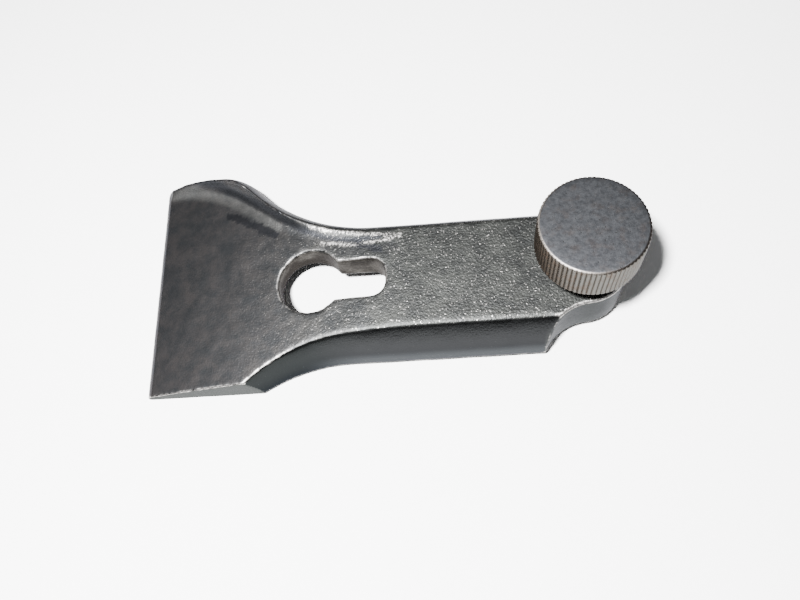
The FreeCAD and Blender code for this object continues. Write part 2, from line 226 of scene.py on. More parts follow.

# %% [markdown]
# Effects that more than one finish uses are shader groups, built once and placed with other
# values in each material. The first is the skin of a casting: metal that ran against sand
# keeps an orange peel of soft lumps with finer grit on it. A few grains are chosen at random
# to glint. The group gives a height for the bump, the glint mask and a mottle of a few
# millimetres; the material paints the glints in as bright colour, a painted highlight.

# %% Group: cast skin


def new_group(name, inputs, outputs):
    """A shader group with plain number sockets; returns its tree and its two ends."""
    group = bpy.data.node_groups.new(name, "ShaderNodeTree")
    for label, default in inputs.items():
        socket = group.interface.new_socket(name=label, in_out="INPUT",
                                            socket_type="NodeSocketFloat")
        socket.default_value = default
    for label in outputs:
        group.interface.new_socket(name=label, in_out="OUTPUT", socket_type="NodeSocketFloat")
    entry = group.nodes.new("NodeGroupInput")
    leave = group.nodes.new("NodeGroupOutput")
    return group, entry.outputs, leave.inputs


def place_group(tree, group, **values):
    """Puts a group into a material; values are given by socket name with _ for a space."""
    node = add_node(tree, "ShaderNodeGroup", node_tree=group)
    for label, value in values.items():
        feed(tree, value, node.inputs[label.replace("_", " ")])
    return node.outputs


GRIT_IN_HEIGHT = 0.65
GRAIN_EDGE, GRAIN_MIDDLE = 0.55, 0.3
MOTTLE_SCALE = 0.38

cast_skin, given, result = new_group(
    "cast_skin", {"Peel Size": 0.8, "Grit Size": 0.3, "Glint Share": 0.06},
    ("Height", "Glints", "Mottle"))
skin_places = places_mm(cast_skin)
peel_scale = maths(cast_skin, "DIVIDE", 1.0, given["Peel Size"])
grit_scale = maths(cast_skin, "DIVIDE", 1.0, given["Grit Size"])
peel = cloud(cast_skin, skin_places, peel_scale, detail=1.5)
grit = cloud(cast_skin, skin_places, grit_scale, detail=2.0, roughness=0.6)
grains = add_node(cast_skin, "ShaderNodeTexVoronoi",
                  [("Vector", skin_places), ("Scale", grit_scale)])
lucky = add_node(cast_skin, "ShaderNodeSeparateColor", [("Color", grains.outputs["Color"])])
chosen = maths(cast_skin, "GREATER_THAN", lucky.outputs[0],
               maths(cast_skin, "SUBTRACT", 1.0, given["Glint Share"]))
round_grain = rise(cast_skin, grains.outputs["Distance"], GRAIN_EDGE, GRAIN_MIDDLE)
feed(cast_skin, maths(cast_skin, "MULTIPLY", chosen, round_grain), result["Glints"])
feed(cast_skin, maths(cast_skin, "MULTIPLY_ADD", grit, GRIT_IN_HEIGHT, peel), result["Height"])
mottle = cloud(cast_skin, skin_places, MOTTLE_SCALE, detail=6.0, roughness=0.72)
feed(cast_skin, rise(cast_skin, mottle, 0.3, 0.7), result["Mottle"])
print("cast_skin has", len(cast_skin.nodes), "nodes")

# %% [markdown]
# The second group is wear. An edge that hands and the bench rub goes bright, but never in an
# even line. So the group takes how sharp the edge is, which the mesh brings along as an
# attribute, and breaks it up with noise. On the casting the same bright edges also stand in
# for the lamp's thin highlight along the rounded edges, so there they are partly wear and
# partly painted highlight.

# %% Group: worn edge
RAGGEDNESS = 0.7
WORN_FROM, WORN_FULLY = 0.5, 0.95

worn_edge, given, result = new_group(
    "worn_edge", {"Edge": 0.0, "Amount": 1.0, "Patch Size": 1.2}, ("Mask",))
patch_scale = maths(worn_edge, "DIVIDE", 1.0, given["Patch Size"])
patches = cloud(worn_edge, places_mm(worn_edge), patch_scale, detail=4.0, roughness=0.65)
broken = maths(worn_edge, "MULTIPLY_ADD", maths(worn_edge, "SUBTRACT", patches, 0.5), RAGGEDNESS,
               maths(worn_edge, "MULTIPLY", given["Edge"], given["Amount"]))
feed(worn_edge, rise(worn_edge, broken, WORN_FROM, WORN_FULLY), result["Mask"])
print("worn_edge has", len(worn_edge.nodes), "nodes")

# %% [markdown]
# The third group is age on bare steel: small dark pits where rust once sat, a thin brown
# bloom, and fine scratches that run mostly one way. The scratches are noise drawn out long
# along one axis, by a Mapping node that squeezes it across.

# %% Group: aged steel
PIT_LEVEL, PIT_EDGE = 0.8, 0.05
BLOOM_SCALE, STEEL_MOTTLE_SCALE = 0.7, 1.3
SCRATCH_SQUEEZE = (9.0, 0.5, 9.0)

aged_steel, given, result = new_group(
    "aged_steel", {"Pit Size": 0.7, "Pit Share": 0.12, "Bloom": 0.5},
    ("Pits", "Bloom", "Scratches", "Mottle"))
steel_places = places_mm(aged_steel)
pit_scale = maths(aged_steel, "DIVIDE", 1.0, given["Pit Size"])
pit_noise = cloud(aged_steel, steel_places, pit_scale, detail=3.0, roughness=0.55)
pit_level = maths(aged_steel, "SUBTRACT", PIT_LEVEL, given["Pit Share"])
feed(aged_steel, rise(aged_steel, pit_noise, pit_level,
                      maths(aged_steel, "ADD", pit_level, PIT_EDGE)), result["Pits"])
bloom = cloud(aged_steel, steel_places, BLOOM_SCALE, detail=5.0, roughness=0.65)
feed(aged_steel, rise(aged_steel, maths(aged_steel, "MULTIPLY_ADD", given["Bloom"], 0.3, bloom),
                      0.58, 0.85), result["Bloom"])
long_places = places_mm(aged_steel, scale=SCRATCH_SQUEEZE)
scratches = cloud(aged_steel, long_places, 1.0, detail=3.0, roughness=0.7)
feed(aged_steel, rise(aged_steel, scratches, 0.55, 0.72), result["Scratches"])
steel_mottle = cloud(aged_steel, steel_places, STEEL_MOTTLE_SCALE, detail=6.0, roughness=0.75)
feed(aged_steel, rise(aged_steel, steel_mottle, 0.25, 0.75), result["Mottle"])
print("aged_steel has", len(aged_steel.nodes), "nodes")

# %% [markdown]
# The casting's finish changes along its length. On the body and round the keyhole the skin is
# as it came from the sand, and its sparkle is painted in as bright glints. Towards the lip it
# has been rubbed smooth and is darker, with faint brown patches. The sides carry painted
# reflection: they are darkest at their upper half and at the flare, as if they mirrored the
# dim room, and lighter low down, as if they mirrored the white paper. The face at the lip's
# plain end and the tail's round face are duller and even, and the keyhole's walls are raw and
# blotchy, with painted shade at the eye's foot. One material covers all of it, with these
# colours.

# %% Colours of the casting
NOSE_DARK = (0.043, 0.045, 0.048, 1)
NOSE_BROWN = (0.054, 0.047, 0.045, 1)
BODY_GREY = (0.046, 0.0475, 0.045, 1)
BODY_DARK = (0.029, 0.030, 0.030, 1)
# Painted reflection on the sides: dark above, as if the steel mirrored the dim room, lighter low
# down, as if it mirrored the paper, and darkest at the flare.
SIDE_PAINTED_ROOM_REFLECTION = (0.016, 0.0165, 0.017, 1)
SIDE_PAINTED_PAPER_REFLECTION = (0.033, 0.035, 0.036, 1)
FLARE_PAINTED_DARK_REFLECTION = (0.011, 0.012, 0.012, 1)
# Bare iron: the worn edges, and the colour of the painted glints, the painted edge highlight and
# the painted highlight lines where the cove fades out.
BARE_IRON = (0.55, 0.53, 0.51, 1)
GROUND_IRON = (0.042, 0.044, 0.042, 1)
# Dark wall colour, also used as painted shade at the eye's foot.
WALL_DARK = (0.022, 0.020, 0.018, 1)
WALL_LIGHT = (0.088, 0.083, 0.076, 1)
# Oil smears, and the painted shade line beside the cove.
SMEAR_AND_SHADE_DARK = (0.02, 0.021, 0.024, 1)
# Painted highlight: the pale band on the cove's floor.
COVE_PAINTED_HIGHLIGHT = (0.135, 0.135, 0.130, 1)
GRAZING_TINT = (0.45, 0.45, 0.46, 1)
print("bare iron is", round(BARE_IRON[0] / BODY_GREY[0]), "times as bright as the skin")

# %% [markdown]
# Masks from a point's place, in millimetres, and from the mesh's attributes say where each
# finish lies. A little of the mottle is added to the place, so that the border between the
# smooth nose and the rough body isn't a straight line. Each pair is where a mask starts and
# where it is full.

# %% Material: where the casting's finishes lie
FACING_UP = (0.72, 0.93)
ROUGH_ALONG, BORDER_DRIFT = (-60.0, -22.0), 3.0
PAPER_REFLECTION_HEIGHTS = (5.2, 3.0)
FLARE_ALONG, FLARE_ACROSS = (-34.0, -46.0), (2.0, -4.0)
EYE_ALONG, EYE_SHADE_HEIGHTS = (-38.0, -41.0), (7.3, 5.6)


def new_material(name):
    material = bpy.data.materials.new(name)
    material.use_nodes = True
    return material, material.node_tree, material.node_tree.nodes["Principled BSDF"]


def attribute(tree, name):
    return add_node(tree, "ShaderNodeAttribute", attribute_name=name).outputs["Fac"]


def both(tree, first, second):
    """Where two masks are both full."""
    return maths(tree, "MULTIPLY", first, second)


def either(tree, first, second):
    return maths(tree, "MAXIMUM", first, second)


iron, tree, shader = new_material("cast_iron_rubbed")
iron_mm = places_mm(tree)
along, sideways, above_rim = add_node(tree, "ShaderNodeSeparateXYZ", [("Vector", iron_mm)]).outputs
skin = place_group(tree, cast_skin, Peel_Size=0.36, Grit_Size=0.19, Glint_Share=0.075)
# Worn edges: partly real wear, partly painted highlight along the rounded edges.
wear_and_edge_highlight = place_group(tree, worn_edge, Edge=attribute(tree, "sharpness"), Amount=0.95,
                   Patch_Size=0.8)["Mask"]
drift = maths(tree, "MULTIPLY_ADD", skin["Mottle"], BORDER_DRIFT, along)
rough_zone = rise(tree, drift, *ROUGH_ALONG)
faces_up = rise(tree, attribute(tree, "facing_up"), *FACING_UP)
top_zone = either(tree, faces_up, attribute(tree, "ear"))
rough_top = both(tree, rough_zone, faces_up)
# Painted reflection: the sides' lower band is lighter, as if it mirrored the white paper.
paper_reflection_share = rise(tree, above_rim, *PAPER_REFLECTION_HEIGHTS)
on_flare = both(tree, rise(tree, along, *FLARE_ALONG), rise(tree, sideways, *FLARE_ACROSS))
# Painted shade: the eye's wall darkens towards its foot, down in the hole.
eye_foot_shade = both(tree, rise(tree, along, *EYE_ALONG), rise(tree, above_rim, *EYE_SHADE_HEIGHTS))
# Painted highlight: the chosen grains on the rough top are made bright in colour, as glints.
painted_glints = both(tree, skin["Glints"], rough_top)
ground, raw_wall = attribute(tree, "ground_face"), attribute(tree, "raw_wall")
print("cast_iron_rubbed's masks take", len(tree.nodes), "nodes")

# %% [markdown]
# The skin's colour comes first: the nose and the body on top, and the sides with their painted
# reflection. Then each later thing lies over what is there already: the cove's painted
# highlight and painted shade, the painted glints, the worn edges, which also stand in as painted
# highlight along the rounded edges, the painted highlight lines where the cove fades out, the
# keyhole's walls, the even faces, and last the oil.

# %% Material: the casting's colour
BROWN_SHARE, PAINTED_GLINT_SHARE, WEAR_AND_HIGHLIGHT_SHARE = 0.6, 0.6, 0.85
SPARKLE_HEIGHTS = (0.68, 1.0)
nose_colour = blend(tree, maths(tree, "MULTIPLY", skin["Mottle"], BROWN_SHARE),
                    NOSE_DARK, NOSE_BROWN)
body_colour = blend(tree, skin["Mottle"], BODY_DARK, BODY_GREY)
# Painted reflection on the sides: dark above and at the flare, lighter low down.
side_painted_reflection = blend(tree, on_flare, blend(tree, paper_reflection_share, SIDE_PAINTED_ROOM_REFLECTION, SIDE_PAINTED_PAPER_REFLECTION), FLARE_PAINTED_DARK_REFLECTION)
wall_colour = blend(tree, skin["Mottle"], WALL_DARK, WALL_LIGHT)
# Painted shade at the foot of the eye's wall.
wall_colour = blend(tree, eye_foot_shade, wall_colour, WALL_DARK)
# Painted highlight and painted shade in the cove: a pale band and a dark line beside it.
cove_highlight_and_shade = attribute(tree, "cove_highlight_and_shade")
painted_cove_shade = maths(tree, "MULTIPLY", cove_highlight_and_shade, -1.0)
sparkle = rise(tree, skin["Height"], *SPARKLE_HEIGHTS)
colour = blend(tree, top_zone, side_painted_reflection, blend(tree, rough_zone, nose_colour, body_colour))
# Over the skin: painted highlight and painted shade in the cove, painted glints, worn edges that
# are partly painted highlight, painted highlight lines where the cove fades out, then the walls,
# the even faces and the oil.
for share, finish in (
        (either(tree, cove_highlight_and_shade, 0.0), COVE_PAINTED_HIGHLIGHT),
        (either(tree, painted_cove_shade, 0.0), SMEAR_AND_SHADE_DARK),
        (maths(tree, "MULTIPLY", painted_glints, PAINTED_GLINT_SHARE), BARE_IRON),
        (maths(tree, "MULTIPLY", wear_and_edge_highlight, WEAR_AND_HIGHLIGHT_SHARE), BARE_IRON),
        (both(tree, attribute(tree, "hairpin_highlight"), sparkle), BARE_IRON),
        (raw_wall, wall_colour), (ground, GROUND_IRON), (attribute(tree, "smear"), SMEAR_AND_SHADE_DARK)):
    colour = blend(tree, share, colour, finish)
feed(tree, colour, shader.inputs["Base Color"])
shader.inputs["Metallic"].default_value = 1.0
shader.inputs["Specular Tint"].default_value = GRAZING_TINT
print("with its colour it takes", len(tree.nodes), "nodes")

# %% [markdown]
# The rubbed sides are the glossiest and the keyhole's walls the dullest. The bump is strong on
# the rough top and in the keyhole, weaker on the rough part's sides, and faint on the nose.

# %% Material: the casting's gloss and grain
GLOSS_NOSE, GLOSS_BODY, GLOSS_SIDE = 0.43, 0.45, 0.30
GLOSS_GLINT, GLOSS_WALL, GLOSS_GROUND, GLOSS_MOTTLE = 0.36, 0.55, 0.5, 0.06
GRAIN_HEIGHT = 0.065 * MM
GRAIN_NOSE, GRAIN_SIDE, GRAIN_GROUND = 0.24, 0.5, 0.8
gloss = blend_number(tree, rough_zone, GLOSS_NOSE, GLOSS_BODY)
gloss = blend_number(tree, top_zone, GLOSS_SIDE, gloss)
for share, finish in ((painted_glints, GLOSS_GLINT), (raw_wall, GLOSS_WALL), (ground, GLOSS_GROUND)):
    gloss = blend_number(tree, share, gloss, finish)
gloss = maths(tree, "MULTIPLY_ADD", skin["Mottle"], GLOSS_MOTTLE, gloss)
feed(tree, gloss, shader.inputs["Roughness"])

grain = either(tree, blend_number(tree, rough_top, GRAIN_NOSE, 1.0),
               maths(tree, "MULTIPLY", rough_zone, GRAIN_SIDE))
grain = either(tree, grain, either(tree, raw_wall, maths(tree, "MULTIPLY", ground, GRAIN_GROUND)))
bump = add_node(tree, "ShaderNodeBump", [("Height", both(tree, skin["Height"], grain)),
                                         ("Strength", 1.0), ("Distance", GRAIN_HEIGHT)])
feed(tree, bump.outputs["Normal"], shader.inputs["Normal"])
print("cast_iron_rubbed has", len(tree.nodes), "nodes")

# %% [markdown]
# The screw's head is bare steel that has gone dull: blue grey on top with small dark pits, and
# pale ribs that are darker in their grooves. The ribs on the side of the cap's body are browner.
# The rim is brown all round, and on that same side it is worn bright in patches.

# %% Material: the head's steel
HEAD_GREY = (0.046, 0.048, 0.053, 1)
HEAD_LIGHT = (0.062, 0.064, 0.069, 1)
HEAD_RIB = (0.078, 0.075, 0.068, 1)
RIB_BROWN = (0.040, 0.033, 0.027, 1)
GROOVE_DARK = (0.026, 0.022, 0.017, 1)
RUST_TINT = (0.060, 0.040, 0.028, 1)
PIT_DARK = (0.020, 0.019, 0.018, 1)
EDGE_BRIGHT = (0.34, 0.31, 0.28, 1)
RIM_BROWN = (0.034, 0.029, 0.026, 1)
BROWN_RIBS, GROOVE_DARKENING_RANGE, RUBBED_RIM = (-2.0, -8.0), (0.25, 0.95), (3.0, -5.0)
RUST_ON_TOP, RUST_ON_RIBS, PIT_SHARE, RIM_SHARE = 0.25, 0.55, 0.85, 0.6

head_steel, tree, shader = new_material("head_steel_aged")
age = place_group(tree, aged_steel, Pit_Size=0.45, Pit_Share=0.125, Bloom=0.40)
across = add_node(tree, "ShaderNodeSeparateXYZ", [("Vector", places_mm(tree))]).outputs["X"]
rim = attribute(tree, "sharpness")
wear_and_edge_highlight = place_group(tree, worn_edge, Edge=rim, Amount=1.1, Patch_Size=1.6)["Mask"]
on_band = attribute(tree, "band")
groove_darkening = rise(tree, attribute(tree, "groove"), *GROOVE_DARKENING_RANGE)
rib_colour = blend(tree, rise(tree, across, *BROWN_RIBS), HEAD_RIB, RIB_BROWN)
# The ribs are made darker in their grooves.
rib_colour = blend(tree, groove_darkening, rib_colour, GROOVE_DARK)
rust = both(tree, age["Bloom"], blend_number(tree, on_band, RUST_ON_TOP, RUST_ON_RIBS))
rubbed_rim = both(tree, rise(tree, across, *RUBBED_RIM), wear_and_edge_highlight)
colour = blend(tree, on_band, blend(tree, age["Mottle"], HEAD_GREY, HEAD_LIGHT), rib_colour)
pits = maths(tree, "MULTIPLY", age["Pits"], PIT_SHARE)
bright_rim = maths(tree, "MULTIPLY", rubbed_rim, RIM_SHARE)
for share, finish in ((rust, RUST_TINT), (pits, PIT_DARK),
                      (rim, RIM_BROWN), (bright_rim, EDGE_BRIGHT)):
    colour = blend(tree, share, colour, finish)
feed(tree, colour, shader.inputs["Base Color"])
shader.inputs["Metallic"].default_value = 1.0
shader.inputs["Specular Tint"].default_value = GRAZING_TINT
print("the head's colour takes", len(tree.nodes), "nodes")

# %% [markdown]
# The head's gloss is broken by the mottle, and the pits are dull. The pits are the deepest
# thing in its relief, the scratches are barely felt, and the mottle stands up a little.

# %% Material: the head's gloss and relief
GLOSS_DARK, GLOSS_LIGHT, GLOSS_RIB, GLOSS_PIT = 0.44, 0.54, 0.42, 0.8
PIT_DEPTH, SCRATCH_DEPTH, MOTTLE_HEIGHT = -1.0, -0.12, 0.25
HEAD_RELIEF = 0.05 * MM
gloss = blend_number(tree, age["Mottle"], GLOSS_DARK, GLOSS_LIGHT)
gloss = blend_number(tree, on_band, gloss, GLOSS_RIB)
feed(tree, blend_number(tree, age["Pits"], gloss, GLOSS_PIT), shader.inputs["Roughness"])
relief = maths(tree, "MULTIPLY_ADD", age["Pits"], PIT_DEPTH,
               maths(tree, "MULTIPLY", age["Scratches"], SCRATCH_DEPTH))
relief = maths(tree, "MULTIPLY_ADD", age["Mottle"], MOTTLE_HEIGHT, relief)
bump = add_node(tree, "ShaderNodeBump", [("Height", relief), ("Strength", 0.8),
                                         ("Distance", HEAD_RELIEF)])
feed(tree, bump.outputs["Normal"], shader.inputs["Normal"])
print("head_steel_aged has", len(tree.nodes), "nodes")

# %% [markdown]
# The stem has the same age but no ribs. It is dark with oil, and the thread's crests are worn
# bright, because they are what rubs in the tail.

# %% Material: the stem's steel
STEM_GREY = (0.15, 0.145, 0.135, 1)
STEM_OILED = (0.06, 0.055, 0.05, 1)
STEM_RUST_SHARE, CREST_SHARE = 0.6, 0.7
GLOSS_OILED, GLOSS_RUSTED = 0.34, 0.6
STEM_RELIEF = 0.02 * MM

stem_steel, tree, shader = new_material("stem_steel_oiled")
age = place_group(tree, aged_steel, Pit_Size=0.8, Pit_Share=0.15, Bloom=0.7)
wear_and_edge_highlight = place_group(tree, worn_edge, Edge=attribute(tree, "crest"), Amount=0.8,
                   Patch_Size=1.0)["Mask"]
colour = blend(tree, age["Mottle"], STEM_OILED, STEM_GREY)
colour = blend(tree, maths(tree, "MULTIPLY", age["Bloom"], STEM_RUST_SHARE), colour, RUST_TINT)
colour = blend(tree, maths(tree, "MULTIPLY", wear_and_edge_highlight, CREST_SHARE), colour, EDGE_BRIGHT)
feed(tree, colour, shader.inputs["Base Color"])
shader.inputs["Metallic"].default_value = 0.9
feed(tree, blend_number(tree, age["Bloom"], GLOSS_OILED, GLOSS_RUSTED), shader.inputs["Roughness"])
bump = add_node(tree, "ShaderNodeBump", [("Height", age["Scratches"]), ("Strength", 0.4),
                                         ("Distance", STEM_RELIEF)])
feed(tree, bump.outputs["Normal"], shader.inputs["Normal"])
print("stem_steel_oiled has", len(tree.nodes), "nodes")

# %% [markdown]
# Plain white paper has a faint tooth and no gloss.

# %% Material: the paper
paper, tree, shader = new_material("paper")
fibre = cloud(tree, places_mm(tree), 1.5, detail=4.0)
feed(tree, blend(tree, fibre, (0.93, 0.93, 0.93, 1), (0.97, 0.97, 0.97, 1)),
     shader.inputs["Base Color"])
shader.inputs["Roughness"].default_value = 0.85
shader.inputs["Specular IOR Level"].default_value = 0.2
floor_mesh.materials.append(paper)
print("paper done")

# %% [markdown]
# The casting starts as a copy of its CAD mesh, which has knife edges that no casting has. The
# copy's loose triangles are merged, and a voxel Remesh modifier gives it an even skin of small
# squares. A Smooth modifier then rounds every edge by about a third of a millimetre. Working
# in millimetres while it is remeshed keeps the voxels well above the modifier's least size.

# %% The casting: an even skin with rounded edges
SKIN_STEP = 0.29
ROUNDING_PASSES = 3


def merged_copy_mm(node):
    """A node's mesh in millimetres, with its loose triangles joined."""
    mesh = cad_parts[node].data.copy()
    mesh.transform(Matrix.Scale(1 / MM, 4))
    work = bmesh.new()
    work.from_mesh(mesh)
    bmesh.ops.remove_doubles(work, verts=work.verts, dist=0.002)
    work.to_mesh(mesh)
    work.free()
    mesh.materials.clear()
    return mesh


def applied(thing):
    """The thing's mesh with its modifiers applied."""
    graph = bpy.context.evaluated_depsgraph_get()
    graph.update()
    mesh = bpy.data.meshes.new_from_object(thing.evaluated_get(graph))
    thing.modifiers.clear()
    return mesh


blank = put_in_scene("cap_blank", merged_copy_mm("lever_cap"), Matrix.Identity(4))
remesh = blank.modifiers.new("even_skin", "REMESH")
remesh.mode = "VOXEL"
remesh.voxel_size = SKIN_STEP
rounding = blank.modifiers.new("rounding", "SMOOTH")
rounding.factor = 0.5
rounding.iterations = ROUNDING_PASSES
cap_mesh = applied(blank)
bpy.data.objects.remove(blank)
cap_mesh.name = "cap_casting"
print("cap skin", len(cap_mesh.vertices), "points", len(cap_mesh.polygons), "faces")

# %% [markdown]
# Numpy reads all the points, normals and edges at once. Several of the steps below need the
# middle of a point's neighbours, or a share that rises smoothly from nought to one.

# %% Helpers for the skin's points


def read_points(mesh):
    flat = np.empty(len(mesh.vertices) * 3)
    mesh.vertices.foreach_get("co", flat)
    return flat.reshape(-1, 3)


def read_normals(mesh):
    flat = np.empty(len(mesh.vertices) * 3)
    mesh.vertices.foreach_get("normal", flat)
    return flat.reshape(-1, 3)


def read_edges(mesh):
    flat = np.empty(len(mesh.edges) * 2, dtype=np.int64)
    mesh.edges.foreach_get("vertices", flat)
    return flat.reshape(-1, 2)


def neighbour_mean(values, edges):
    """For each point, the mean of its neighbours' values."""
    total = np.zeros_like(values)
    count = np.zeros(len(values))
    for a, b in ((0, 1), (1, 0)):
        np.add.at(total, edges[:, a], values[edges[:, b]])
        np.add.at(count, edges[:, a], 1)
    return total / (count[:, None] if values.ndim > 1 else count)


def smooth_step(value, low, high):
    share = np.clip((value - low) / (high - low), 0, 1)
    return share * share * (3 - 2 * share)


def add_attribute(mesh, name, values):
    mesh.attributes.new(name, "FLOAT", "POINT").data.foreach_set("value", values)


points, edges = read_points(cap_mesh), read_edges(cap_mesh)
print("read", len(points), "points and", len(edges), "edges")

# %% [markdown]
# Two stretches of the casting are rounder than the rest: the raised ear with its cove, and the
# body's long edge on the plain side. Each point there goes half-way to the middle of its
# neighbours, several times. The lip, the rim and the tail are left out, because they seat or
# guide something.

# %% The casting: a softer ear and a softer long edge
SOFTENING_PASSES = 8
EAR_ACROSS, EAR_ALONG = (4.0, 7.5), (22.0, 36.0)
ABOVE_RIM, BEHIND_LIP = (2.6, 3.6), (0.8, 2.0)
EDGE_ACROSS, EDGE_ALONG, EDGE_HEIGHTS = (4.0, 5.5), (-50.0, -40.0), (6.0, 7.5)
TAIL_START = -5.5

x, y, z = points.T
by_ear = smooth_step(y, *EAR_ACROSS) * smooth_step(-x, *EAR_ALONG)
by_ear *= smooth_step(z, *ABOVE_RIM) * smooth_step(x - cap_low.x, *BEHIND_LIP)
by_edge = smooth_step(-y, *EDGE_ACROSS) * smooth_step(x, *EDGE_ALONG)
by_edge *= smooth_step(z, *EDGE_HEIGHTS) * (x < TAIL_START)
softening = np.maximum(by_ear, by_edge)[:, None]
for _ in range(SOFTENING_PASSES):
    points += 0.5 * softening * (neighbour_mean(points, edges) - points)
print("softened points", int((softening > 0.5).sum()))

# %% [markdown]
# How sharp the surface is at a point is how far the point stands out, along its normal, from
# the middle of its neighbours. It is measured before any roughness is added, or each grain
# would count as an edge. The ear's round crest is spared most of the worn edge and its painted
# highlight.

# %% Measure how sharp the skin is
FULLY_SHARP = 0.095 * SKIN_STEP
SHARPNESS_SPREAD = 3
EAR_SPARED = 0.85

cap_mesh.vertices.foreach_set("co", points.ravel())
cap_mesh.update()
normals = read_normals(cap_mesh)
stand_out = ((points - neighbour_mean(points, edges)) * normals).sum(axis=1)
sharpness = np.clip(stand_out / FULLY_SHARP, 0, 1)
for _ in range(SHARPNESS_SPREAD):
    sharpness = 0.5 * sharpness + 0.5 * neighbour_mean(sharpness, edges)
sharpness *= 1 - EAR_SPARED * by_ear
print("sharp points", int((sharpness > 0.4).sum()), "of", len(sharpness))

# %% [markdown]
# The lip's front edge is dressed with a narrow bevel that slopes down to a thin edge, so that
# shavings ride over it. Points near the lip that stand higher than the bevel's slope come
# down to it.

# %% The lip's bevel
BEVEL_RUN, BEVEL_FOOT, BEVEL_HEAD = 1.1, 0.45, 1.75

from_lip = points[:, 0] - cap_low.x
bevel_top = cap_low.z + BEVEL_FOOT + (BEVEL_HEAD - BEVEL_FOOT) * from_lip / BEVEL_RUN
on_bevel = (from_lip < BEVEL_RUN) & (points[:, 2] > bevel_top)
points[on_bevel, 2] = bevel_top[on_bevel]
print("bevelled points", int(on_bevel.sum()))

# %% [markdown]
# A casting's skin is never flat. Each point moves along its normal by seeded noise: slow waves
# of a few millimetres everywhere, and on the rough top an orange peel of under a millimetre.
# The finest grain is left to the material's bump. The screw's hole stays as it is, because
# the stem passes through it with little room.

# %% The casting's uneven skin
HOLE_CLEAR, HOLE_FADE = 4.3, 0.5
LONG_WAVES, SHORT_WAVES, PEEL_LUMPS = 0.22, 0.55, 1.5
WAVE_HEIGHT, PEEL_HEIGHT, LEAST_PEEL = 0.04, 0.02, 0.12
PEEL_ALONG, PEEL_FACING = (-58, -38), (0.7, 0.95)


def noise_field(places, scale, seed):
    """Smooth noise at each place; scale is in features a millimetre."""
    shift = Vector((seed * 17.3, seed * 5.1, seed * 9.7))
    return np.array([noise.noise(Vector(p) * scale + shift) for p in places])


upward = normals[:, 2]
peel_share = smooth_step(points[:, 0], *PEEL_ALONG) * smooth_step(upward, *PEEL_FACING)
hole_distance = np.hypot(points[:, 0], points[:, 1])
free = smooth_step(hole_distance, HOLE_CLEAR - HOLE_FADE, HOLE_CLEAR)
waves = noise_field(points, LONG_WAVES, 1) + 0.5 * noise_field(points, SHORT_WAVES, 2)
peel_lumps = noise_field(points, PEEL_LUMPS, 3) * (LEAST_PEEL + (1 - LEAST_PEEL) * peel_share)
push = WAVE_HEIGHT * waves + PEEL_HEIGHT * peel_lumps
points += normals * (push * free)[:, None]
points = np.clip(points, np.array(cap_low), np.array(cap_high))
print("pushed by", round(float(push.min()), 3), "to", round(float(push.max()), 3), "mm")

# %% [markdown]
# Some finishes follow a line. There are two oily smears, one on the nose beside the ear and
# one by the keyhole's slot. The cove's floor gets a painted highlight, a pale band, and beside
# it runs a painted shade, a dark line. Where the cove fades out, two thin lines of painted
# highlight are drawn. Each is a curve in plan, in millimetres from the screw, with the width
# that it covers on each side.

# %% Where the smears, the cove's painted highlight and shade, and the painted highlight lines run
SMEARS = [([(-57.2, 14.9), (-48.9, 9.9)], 0.55), ([(-35.0, 6.2), (-31.2, 4.7)], 0.38)]
# Painted highlight: two thin bright lines where the cove fades out, where the lamp would catch the
# surface.
HAIRPIN_HIGHLIGHT_PATHS = [([(-43, 10), (-37.5, 7.8), (-28, 7.2)], 0.05), ([(-41, 7), (-34, 5.2), (-28, 7)], 0.10)]
# Painted highlight on the cove's floor and painted shade beside it.
COVE_HIGHLIGHT_PATH = [([(-68.5, 21.5), (-61, 21), (-54, 16), (-48.5, 11)], 0.42)]
COVE_SHADE_PATH = [([(-64, 22.5), (-50.5, 18.5), (-45.5, 5), (-31.5, 7)], 0.25)]


def curve(corners, parts=12):
    """Places along a smooth curve: it joins the end corners, and those between pull it."""
    places = []
    for i in range(parts + 1):
        row, share = [np.array(c) for c in corners], i / parts
        while len(row) > 1:
            row = [a + share * (b - a) for a, b in zip(row, row[1:])]
        places.append(row[0])
    return places


def path_mask(places, paths, fade, raggedness):
    """Which points lie near a few curves in plan: one inside a curve's width, then fading."""
    mask = np.zeros(len(places))
    ragged = noise_field(places, 0.9, 4) + 0.6 * noise_field(places, 2.1, 5)
    for corners, width in paths:
        stops = curve(corners)
        for a, b in zip(stops, stops[1:]):
            share = np.clip(((places[:, :2] - a) @ (b - a)) / ((b - a) @ (b - a)), 0, 1)
            away = np.linalg.norm(places[:, :2] - (a + share[:, None] * (b - a)), axis=1)
            near = 1 - smooth_step(away + raggedness * ragged, width, width + fade)
            mask = np.maximum(mask, near)
    return mask


SMEAR_STRENGTH, COVE_HIGHLIGHT_STRENGTH, COVE_SHADE_STRENGTH = 0.85, 0.42, 0.85
smear = SMEAR_STRENGTH * path_mask(points, SMEARS, fade=0.25, raggedness=0.5) * (upward > 0.5)
# Painted highlight where the cove fades out.
hairpin_highlight = path_mask(points, HAIRPIN_HIGHLIGHT_PATHS, fade=0.3, raggedness=0.25) * (upward > 0.6)
# Painted highlight and painted shade in the cove.
cove_highlight_and_shade = COVE_HIGHLIGHT_STRENGTH * path_mask(points, COVE_HIGHLIGHT_PATH, fade=0.9, raggedness=0.15)
cove_highlight_and_shade -= COVE_SHADE_STRENGTH * path_mask(points, COVE_SHADE_PATH, fade=0.5, raggedness=0.15)
cove_highlight_and_shade *= upward > 0.2
print("smeared points", int((smear > 0.4).sum()), "rubbed points", int((hairpin_highlight > 0.4).sum()))

# %% [markdown]
# The other finishes follow the shape: the face at the lip's plain end, the tail's round face,
# the keyhole's upright walls and the ear.

